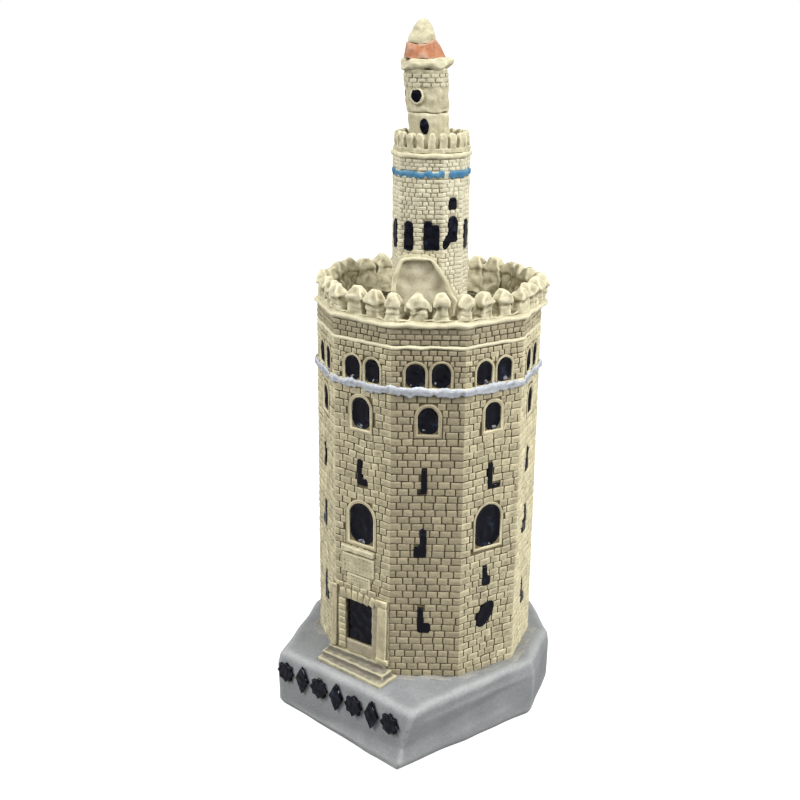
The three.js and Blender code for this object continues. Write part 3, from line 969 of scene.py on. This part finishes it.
# %% Parapet and terrace floor
INSET = JOINT_DEPTH / math.cos(SIDE_ANGLE / 2)
floor_low, floor_high, parapet_high = low("terrace_deck"), high("terrace_deck"), high("parapet_wall")
sites = brick_sites(WALL, floor_low, parapet_high, 1.05, 1.75, no_openings, parapet_look, 13, 0.2)
finished(laid("parapet_bricks", sites, brick, brick_paint, seed=5, wobble=0.2))
piece = ring_solid("terrace_floor", 0, WALL - INSET, floor_low, floor_high)
recast(piece, 0.35).data.materials.append(mortar_paint)
finished(piece, ["terrace_deck"])
piece = ring_solid("parapet_core", TERRACE_INNER, WALL - INSET, floor_high, parapet_high)
recast(piece, 0.25, amount=0.15).data.materials.append(stone_paint)
finished(piece, ["parapet_wall"])

# %% [markdown]
# ## Window frames and the paint in the windows
# A frame is a small section carried round the outline. The dark paint was dropped in with a
# full brush, so it fills the corners, domes up a little and shines.

# %% Frames
# Each step of the section: share of the frame's width, how far it stands out, its relief.
FRAME_SECTION = [(-0.02, -0.8, -0.6), (0.0, -0.05, 0.5), (0.16, 0.12, 0.7), (0.5, 0.15, 0.1),
                 (0.82, 0.13, 0.5), (0.9, -0.02, -1.0), (1.12, -0.28, -1.0)]


def window_frames(name, corner, openings):
    points, faces, relief, brush_and_shade = [], [], [], []
    for side in ALL_SIDES:
        for outline, border in openings(side):
            if not border:
                continue
            start, count, levels = len(points), len(outline(0.0)), len(FRAME_SECTION)
            for share, stand, stands_up in FRAME_SECTION:
                ring = outline(border * share)
                points += [on_side(side, u, z, apothem(corner) + stand) for u, z in ring]
                relief += [stands_up] * count
                brush_and_shade += [wall_look(side)[0]] * count
            for level in range(levels):
                a, b = start + level * count, start + (level + 1) % levels * count
                for i in range(count):
                    j = (i + 1) % count
                    faces.append((a + i, b + i, b + j, a + j))
    piece = new_object(name, points, faces, [brick_paint])
    for vertex in piece.data.vertices:
        vertex.co += wobbled(vertex.co, 0.10, 1.3, 5)
    set_float(piece.data, "relief", relief)
    set_float(piece.data, "brush_and_shade", brush_and_shade)
    set_float(piece.data, "tint", [0.75] * len(relief))
    return smooth(piece)


finished(window_frames("lower_window_frames", WALL, windows_of))
finished(window_frames("gallery_window_frames", WALL, gallery_pair))

# %% Dark paint, poured as blocks that are then softened
def outline_block(points, faces, *loops):
    """A closed block over loops that run anticlockwise as seen from outside, the last one deepest.

    The first loop may be the bottom of a dish that the second one rims.
    """
    start, count = len(points), len(loops[0])
    for loop in reversed(loops):
        points += loop
    for level in range(len(loops) - 1):
        a, b = start + level * count, start + (level + 1) * count
        for i in range(count):
            j = (i + 1) % count
            faces.append((a + i, a + j, b + j, b + i))
    last = start + (len(loops) - 1) * count
    faces.append(tuple(last + i for i in range(count)))
    faces.append(tuple(start + i for i in reversed(range(count))))


def dark_fill(name, corner, openings, seed, voxel=0.16):
    """A framed window's paint is a dish just inside it; elsewhere it stands over the bricks."""
    points, faces = [], []
    for side in ALL_SIDES:
        for outline, border in openings(side):
            out = apothem(corner) + (0.0 if border else 0.2)
            steps = [(0.05, out), (0.05, out - 1.1)]
            if border:
                steps.insert(0, (-0.75, out - 0.6))
            loops = [[on_side(side, u, z, depth)
                      for u, z in rounded(outline(by), ROUND_FOOT if border else 0.3)]
                     for by, depth in steps]
            outline_block(points, faces, *loops)
    piece = new_object(name, points, faces)
    recast(piece, voxel, rounds=4, amount=0.16, scale=1.5, seed=seed, full=0.4)
    piece.data.materials.append(navy_paint)
    return finished(piece)


dark_fill("lower_window_paint", WALL, windows_of, 2, voxel=0.2)
dark_fill("gallery_window_paint", WALL, gallery_pair, 3)
dark_fill("turret_window_paint", TURRET, turret_spots, 4)

# %% [markdown]
# ## Recast trim
# The mouldings, steps, hood and cap keep the frame's shape, with soft edges.

# %% Mouldings
def trim(node, voxel, slot="cream_trim", paint=None, **wear):
    piece = recast(copy_of(node, node + "_cast"), voxel, **wear)
    piece.data.materials.append(paint or trim_paint)
    return finished(piece, [node])


RIGHT_BULGE = [((23, -3, 90), 10, (1.0, 0, 0))]
trim("upper_string_course", 0.28, rounds=3, amount=0.22, scale=2.5)
trim("cornice", 0.22, rounds=3, amount=0.25, scale=2.5, pulls=RIGHT_BULGE)
trim("turret_cornice", 0.18, rounds=3, amount=0.2, scale=1.8)
trim("turret_crown", 0.14, rounds=4, amount=0.26, scale=1.4)

# %% [markdown]
# ## Painted bands
# The white line over the lower wall and the blue one round the turret were done freehand. Each
# is a strip of paint whose edges wander, thick enough to catch the light, on the moulding under
# it. The blue strip stops short at one place, where the brush was lifted.

# %% Strips of paint
STRIP_STEPS = 44
STRIP_SECTION = [(0, -0.6), (0.12, 0.75), (0.5, 1.0), (0.88, 0.75), (1, -0.6)]


def strip_column(turn, out, bottom, top, stray, seed, thick):
    around = Vector((math.sin(turn), -math.cos(turn), 0))
    edges = []
    for k, height in enumerate((bottom, top)):
        wave = noise.noise(around * 9 + Vector((seed * 3, 0, k * 4.1)))
        wave += 0.5 * noise.noise(around * 30 + Vector((0, seed, k)))
        edges.append(height + stray * wave)
    return [(around * (out + stand * thick) +
             Vector((0, 0, edges[0] + (edges[1] - edges[0]) * share))) * MM
            for share, stand in STRIP_SECTION]


def strip(name, corner, bottom, top, stray, seed, material, gap=(0, 0), thick=0.22):
    """A closed band of paint; gap is in degrees, and nothing is painted between its two ends."""
    points, faces, columns = [], [], []
    for side in ALL_SIDES:
        for step in range(STRIP_STEPS):
            lean = math.pi / SIDES * (2 * step / STRIP_STEPS - 1)
            turn = side * SIDE_ANGLE + lean
            if gap[0] < math.degrees(turn) < gap[1]:
                columns.append(None)
                continue
            columns.append(len(points))
            out = apothem(corner) / math.cos(lean)
            points += strip_column(turn, out, bottom, top, stray, seed, thick)
    count = len(STRIP_SECTION)
    for i, here in enumerate(columns):
        there = columns[(i + 1) % len(columns)]
        if here is not None and there is not None:
            for k in range(count):
                m = (k + 1) % count
                faces.append((here + k, there + k, there + m, here + m))
        elif here is not None:
            faces.append(tuple(here + k for k in reversed(range(count))))
        elif there is not None:
            faces.append(tuple(there + k for k in range(count)))
    piece = new_object(name, points, faces, [material])
    for vertex in piece.data.vertices:
        vertex.co += wobbled(vertex.co, 0.12, 0.9, seed)
    mark_relief(piece.data, rounds=3, full=0.3)
    return smooth(piece)


piece = recast(copy_of("white_string_course", "white_band_core"), 0.3, rounds=3, amount=0.15)
piece.data.materials.append(trim_paint)
finished(piece)
piece = strip("white_band_paint", WALL + 0.52, low("white_string_course") - 0.05,
              high("white_string_course") + 0.15, 0.75, 3, white_paint, thick=0.15)
finished(piece, ["white_string_course"])

piece = ring_solid("blue_band_core", 0, TURRET, low("blue_band"), high("blue_band"))
recast(piece, 0.25, amount=0.12).data.materials.append(trim_paint)
finished(piece)
piece = strip("blue_band_paint", TURRET + 0.05, low("blue_band") + 0.25, high("blue_band") - 0.1,
              0.5, 5, blue_paint, gap=(20, 27), thick=0.11)
finished(piece, ["blue_band"])

# %% [markdown]
# ## Battlements
# Thirty merlons stand on the walk. Each is a block with scored rows and an overhanging, pointed
# cap, and towards the terrace it spreads into a buttress. They are placed by the same node tree
# as the bricks, each a little wider, taller or more crooked than the next, and then cast as one
# with the walk, which rounds them all off.

# %% A merlon, and thirty of them
def stacked(name, levels):
    """Four-sided levels: [height, half width at the front, and at the back, front, back]."""
    points, faces = [], []
    for height, half, half_back, front, back in levels:
        points += [(-half, -front, height), (half, -front, height), (half_back, back, height),
                   (-half_back, back, height)]
    for level in range(len(levels) - 1):
        for i in range(4):
            j = (i + 1) % 4
            a, b = level * 4, (level + 1) * 4
            faces.append((a + i, a + j, b + j, b + i))
    last = (len(levels) - 1) * 4
    faces += [(3, 2, 1, 0), (last, last + 1, last + 2, last + 3)]
    return new_object(name, points, faces)


MERLON_LEVELS = [
    (-3.0, 1.2, 2.3, -0.4, 2.1), (-0.2, 1.3, 2.4, 0.95, 1.8), (0.75, 1.3, 2.3, 0.95, 1.65),
    (0.8, 1.15, 2.2, 0.75, 1.6), (1.05, 1.15, 2.1, 0.75, 1.55), (1.1, 1.3, 2.0, 0.95, 1.5),
    (1.7, 1.28, 1.9, 0.95, 1.4), (1.75, 1.12, 1.9, 0.75, 1.4), (2.0, 1.12, 1.85, 0.75, 1.3),
    (2.05, 1.28, 1.8, 0.95, 1.3), (2.35, 1.3, 1.75, 1.0, 1.3), (2.6, 1.85, 1.8, 1.4, 1.45),
    (3.2, 1.85, 1.75, 1.4, 1.4), (4.2, 1.25, 1.15, 1.0, 1.0), (4.95, 0.7, 0.65, 0.6, 0.6),
]
merlon = stacked("merlon_template", MERLON_LEVELS)
walk_low = high("cornice")
walk_top = walk_low + 0.3
row_out = apothem(WALL) - 1.0
half_side = WALL * math.sin(SIDE_ANGLE / 2)
chance = random.Random(21)
sites = []
for side in ALL_SIDES:
    for step in range(3):
        turn = side * SIDE_ANGLE
        if step == 0:
            turn -= SIDE_ANGLE / 2
            place = on_side(side - 0.5, 0, walk_top, row_out / math.cos(SIDE_ANGLE / 2) - 0.1)
        else:
            place = on_side(side, half_side * (step - 1.5) * 0.63, walk_top, row_out)
        wide = 1.2 if abs(side) > 2 else 1.0
        size = (wide * chance.uniform(0.8, 1.15), chance.uniform(0.92, 1.1),
                chance.uniform(0.92, 1.02))
        sites.append(site(place, size, (0, 0, turn + chance.uniform(-0.09, 0.09))))
piece = laid("battlements_cast", sites, merlon, trim_paint, tilt=0.035, wobble=0.0, seed=9)
walk = ring_solid("walk", TERRACE_INNER, WALL, walk_low, walk_top)
work = bmesh.new()
work.from_mesh(piece.data)
work.from_mesh(walk.data)
work.to_mesh(piece.data)
work.free()
bpy.data.objects.remove(walk)
recast(piece, 0.215, rounds=2, amount=0.42, scale=1.7, seed=3, pulls=RIGHT_BULGE)
piece.data.materials.append(trim_paint)
finished(piece, ["battlements"])

# %% [markdown]
# ## Door
# The doorway is framed by a pilaster at each side, a grey recess, jamb blocks on the left and a
# fan of wedge stones over it. All of them are laid with the brick tree, from their own list.

# %% Stones round the door
# Each stone: [middle along, middle height, width, height, how far out, tip in radians].
STONES = [
    (-7.0, 23.2, 1.15, 14.0, 0.75, 0.0), (-6.9, 30.2, 1.5, 0.8, 0.9, 0.0),
    (5.5, 22.6, 2.3, 12.6, 0.85, 0.0), (5.4, 29.5, 2.8, 1.5, 1.0, 0.0),
    (5.7, 16.7, 3.0, 1.2, 1.0, 0.0),
]
for row in range(8):
    STONES.append((-5.0, 17.1 + row * 1.42, 1.75, 1.26, 0.5, 0.0))
for wedge in range(6):
    STONES.append((-4.7 + wedge * 1.52, 29.1 - abs(wedge - 1.5) * 0.06, 1.3, 2.1, 0.5,
                   (wedge - 1.6) * 0.11))
for wedge in range(5):
    STONES.append((-5.6 + wedge * 2.1, 30.9, 1.85, 0.9, 0.45, 0.0))
wall_face = apothem(WALL)
chance = random.Random(31)
sites = []
for along, height, width, tall, out, tip in STONES:
    place = on_side(DOOR_SIDE, along, height, wall_face - 0.3)
    sites.append(site(place, (width, out + 0.3, tall), (0, tip, DOOR_SIDE * SIDE_ANGLE),
                      chance.uniform(0.5, 0.9), 0.95, 0.25))
finished(laid("door_stones", sites, brick, brick_paint, tilt=0.02, wobble=0.3, seed=8))

# %% Recess, leaf, steps, tablets and hood
points, faces = [], []
for left, right_end, bottom, top in ((-7.0, -4.15, 16.0, 30.4), (2.55, 6.9, 16.0, 30.4),
                                     (-4.15, 2.55, 27.9, 30.4), (-4.15, 2.55, 16.0, 18.6)):
    corners = [(left, bottom), (right_end, bottom), (right_end, top), (left, top)]
    outline_block(points, faces, [on_side(DOOR_SIDE, u, z, wall_face + 0.18) for u, z in corners],
                  [on_side(DOOR_SIDE, u, z, wall_face - 0.4) for u, z in corners])
piece = new_object("door_recess", points, faces)
recast(piece, 0.2, amount=0.12, scale=1.5).data.materials.append(stone_paint)
finished(piece, ["door_surround"])
trim("door_leaf", 0.15, "navy_paint", navy_paint, rounds=4, amount=0.22, scale=1.3, full=0.4)
trim("door_steps", 0.16, paint=step_paint, rounds=2, amount=0.1, scale=1.5, full=0.07)
trim("window_ledge", 0.15, rounds=3, amount=0.15, scale=1.4)
trim("upper_plaque", 0.15, rounds=3, amount=0.1, scale=1.4)
trim("lower_plaque", 0.15, rounds=3, amount=0.1, scale=1.4)
trim("stair_hood", 0.18, rounds=5, amount=0.3, scale=2.4)
HOOD_INSIDE = [(-7.2, 84.4), (4.8, 84.4), (4.8, 88.2), (4.3, 90.2), (1.9, 94.9), (0.4, 96.7),
               (-0.2, 97.3), (-4.4, 97.8), (-5.2, 97.0), (-6.2, 95.5), (-6.7, 93.5)]
points, faces = [], []
outline_block(points, faces, [on_side(0, u, z, 9.2) for u, z in HOOD_INSIDE],
              [on_side(0, u, z, 7.9) for u, z in HOOD_INSIDE])
piece = new_object("stair_hood_niche", points, faces)
recast(piece, 0.2, amount=0.3, scale=2.2).data.materials.append(hood_paint)
finished(piece)

# %% [markdown]
# The two tablets over the door are pricked with rows of dots, which hold the dark wash. A dot
# is a little round boss, placed by the same tree.

# %% Dots on the tablets
def dot_template():
    points, faces = [(0.0, -1.0, 0.0)], []
    count = 8
    for radius, depth in ((0.3, -0.9), (0.5, 0.0)):
        for i in range(count):
            turn = 2 * math.pi * i / count
            points.append((radius * math.cos(turn), depth, radius * math.sin(turn)))
    for i in range(count):
        j = (i + 1) % count
        faces.append((0, 1 + i, 1 + j))
        faces.append((1 + i, 1 + count + i, 1 + count + j, 1 + j))
    faces.append(tuple(1 + count + i for i in reversed(range(count))))
    piece = new_object("dot_template", points, faces)
    set_float(piece.data, "relief", [-1.0] * len(points))
    return smooth(piece)


dot = dot_template()
chance = random.Random(41)
sites = []
for node, rows, left, right_end, stand in (("upper_plaque", 4, -4.2, 2.6, 0.5),
                                           ("lower_plaque", 3, -3.2, 1.8, 0.4)):
    for row in range(rows):
        height = low(node) + (row + 0.6) * (high(node) - low(node)) / (rows + 0.2)
        for i in range(8):
            along = left + (right_end - left) * i / 7 + chance.uniform(-0.15, 0.15)
            place = on_side(DOOR_SIDE, along, height + chance.uniform(-0.08, 0.08),
                            wall_face + stand - 0.05)
            width = chance.uniform(0.22, 0.34)
            sites.append(site(place, (width, 0.1, width), (0, 0, DOOR_SIDE * SIDE_ANGLE), 0.1, 0.0))
finished(laid("tablet_dots", sites, dot, mortar_paint, tilt=0.0, wobble=0.05, seed=2))

# %% [markdown]
# ## Lantern and roof
# The lantern leans, its round window and low door are filled with navy, and its bell-shaped cap
# was badly trimmed: it has a horn on one side and a smear of orange running up the other.

# %% Lantern
trim("lantern_base", 0.2, rounds=3, amount=0.2, scale=1.8)
trim("lantern_drum", 0.16, rounds=3, amount=0.28, scale=1.6)
trim("lantern_eaves", 0.18, rounds=3, amount=0.5, scale=2.2,
     pulls=[((-5.5, -2, 134.0), 3.0, (0.1, 0.0, -0.6)), ((3.5, -1, 134.0), 3.0, (0.5, 0, 0.5))])
trim("tile_roof", 0.18, "terracotta_paint", tile_paint, rounds=3, amount=0.4, scale=1.6,
     pulls=[((-5.2, -1.5, 137.4), 2.4, (-1.1, -0.2, 0.7)), ((1.2, -1, 137.6), 2.6, (-0.6, 0, 0.9))])
trim("spire", 0.16, rounds=4, amount=0.5, scale=2.0,
     pulls=[((-2.2, 0, 142.0), 2.5, (0.1, 0.0, -0.1)), ((-4.2, -1, 138.0), 2.2, (-0.5, 0, 0.1))])

# %% Dark spots on the lantern
LEAN, LEAN_START = 0.08, 115.0
DRUM, DRUM_FOOT = 4.25, 3.95
# Each spot: degrees round the axis, height, half width, half height, radius of the wall there.
SPOTS = [(-28, 127.9, 1.3, 1.4, DRUM + 0.3), (-118, 127.9, 1.2, 1.3, DRUM + 0.1),
         (152, 127.9, 1.2, 1.3, DRUM + 0.1),
         (-14, 122.2, 0.9, 1.6, DRUM_FOOT + 0.1), (166, 122.2, 0.8, 1.5, DRUM_FOOT)]


def spot_loop(degrees, height, half, rise, out):
    angle = math.radians(degrees)
    loop = []
    for i in range(16):
        t = 2 * math.pi * i / 16
        along = half * math.cos(t)
        z = height + rise * math.sin(t)
        x = along * math.cos(angle) + out * math.sin(angle) - LEAN * (z - LEAN_START)
        loop.append(Vector((x, along * math.sin(angle) - out * math.cos(angle), z)) * MM)
    return loop


chance = random.Random(51)
sites = []
for row in range(3):
    for i in range(15):
        turn = 2 * math.pi * (i + 0.5 * (row % 2)) / 15
        z = 129.9 + row * 0.85
        x = (DRUM - 0.2) * math.sin(turn) - LEAN * (z - LEAN_START)
        place = Vector((x, -(DRUM - 0.2) * math.cos(turn), z)) * MM
        size = (chance.uniform(1.2, 1.6), 0.26, chance.uniform(0.62, 0.74))
        sites.append(site(place, size, (0, 0, turn), chance.uniform(0.2, 0.6), 0.5, 0.3))
finished(laid("lantern_bricks", sites, brick, turret_paint, tilt=0.05, wobble=0.25, seed=12))

points, faces = [], []
for degrees, height, half, rise, out in SPOTS:
    outline_block(points, faces, spot_loop(degrees, height, half, rise, out),
                  spot_loop(degrees, height, half, rise, out - 1.0))
piece = new_object("lantern_window_paint", points, faces)
recast(piece, 0.13, rounds=4, amount=0.07, scale=1.5, seed=6).data.materials.append(navy_paint)
finished(piece)

# %% [markdown]
# ## Plinth
# The plinth is grey all over, with worn edges. The relief on its long side is enamelled in navy,
# and a thin pad is glued underneath.

# %% Plinth, ornaments and pad
trim("plinth", 0.42, "plinth_grey", plinth_paint, rounds=4, amount=0.35, scale=7.0, full=0.2)
piece = ring_solid("foot_smear", WALL - 2.0, WALL + 1.7, high("plinth") - 0.5,
                   high("plinth") + 0.05)
recast(piece, 0.25, amount=0.5, scale=3.0, seed=4).data.materials.append(smear_paint)
finished(piece)
for number in range(1, 8):
    trim(f"plinth_ornament_{number}", 0.14, "navy_paint", navy_paint, rounds=3, amount=0.14,
         scale=1.0, seed=number)
trim("felt_pad", 0.4, "pad_felt", pad_felt, rounds=2, amount=0.05)

# %% [markdown]
# ## Stage
# A white floor that runs up into the white surround, and soft light from both sides and above:
# stronger on the right, and least from the front, so that the middle wall is the darkest. The
# floor is lifted to white for the camera only, so that it doesn't light the tower from below.

# %% Floor
floor = new_object("floor", [(-6, -6, 0), (6, -6, 0), (6, 6, 0), (-6, 6, 0)], [(0, 1, 2, 3)])
floor_material = bpy.data.materials.new("floor_white")
floor_material.use_nodes = True
tree = floor_material.node_tree
floor_shader = tree.nodes["Principled BSDF"]
floor_shader.inputs["Base Color"].default_value = (0.3, 0.3, 0.3, 1)
floor_shader.inputs["Roughness"].default_value = 0.8
floor_shader.inputs["Specular IOR Level"].default_value = 0.1
path = tree.nodes.new("ShaderNodeLightPath")
lifted = math_node(tree, "MULTIPLY", path.outputs["Is Camera Ray"], 0.95)
tree.links.new(grey_of(tree, lifted), floor_shader.inputs["Emission Color"])
floor_shader.inputs["Emission Strength"].default_value = 1.0
floor.data.materials.append(floor_material)


# %% Lights
def area_light(name, azimuth, elevation, distance, size, power):
    data = bpy.data.lights.new(name, "AREA")
    data.shape = "DISK"
    data.size = size
    data.energy = power
    lamp = bpy.data.objects.new(name, data)
    turn, rise = math.radians(azimuth), math.radians(elevation)
    aim = Vector((0, 0, 0.07))
    way = Vector((math.sin(turn) * math.cos(rise), -math.cos(turn) * math.cos(rise), math.sin(rise)))
    lamp.location = aim + way * distance
    lamp.rotation_euler = way.to_track_quat("Z", "Y").to_euler()
    bpy.context.scene.collection.objects.link(lamp)
    return lamp


area_light("right_softbox", 62, 35, 0.8, 0.4, 6.0)
area_light("left_softbox", -70, 35, 0.85, 0.4, 5.2)
area_light("top_softbox", 10, 72, 0.8, 0.4, 2.2)

# %% Surround
world = bpy.data.worlds.new("surround")
bpy.context.scene.world = world
world.use_nodes = True
sky = world.node_tree
glow = sky.nodes["Background"]
glow.inputs["Color"].default_value = (1, 1, 1, 1)
glow.inputs["Strength"].default_value = 0.49
seen = sky.nodes.new("ShaderNodeBackground")
seen.inputs["Color"].default_value = (1, 1, 1, 1)
seen.inputs["Strength"].default_value = 1.0
path = sky.nodes.new("ShaderNodeLightPath")
choose = sky.nodes.new("ShaderNodeMixShader")
sky.links.new(path.outputs["Is Camera Ray"], choose.inputs[0])
sky.links.new(glow.outputs[0], choose.inputs[1])
sky.links.new(seen.outputs[0], choose.inputs[2])
sky.links.new(choose.outputs[0], sky.nodes["World Output"].inputs["Surface"])
bpy.context.scene.view_settings.view_transform = "Standard"
bpy.context.scene.view_settings.look = "None"

# %% Finish
for template in (brick, merlon, dot):
    bpy.data.objects.remove(template)
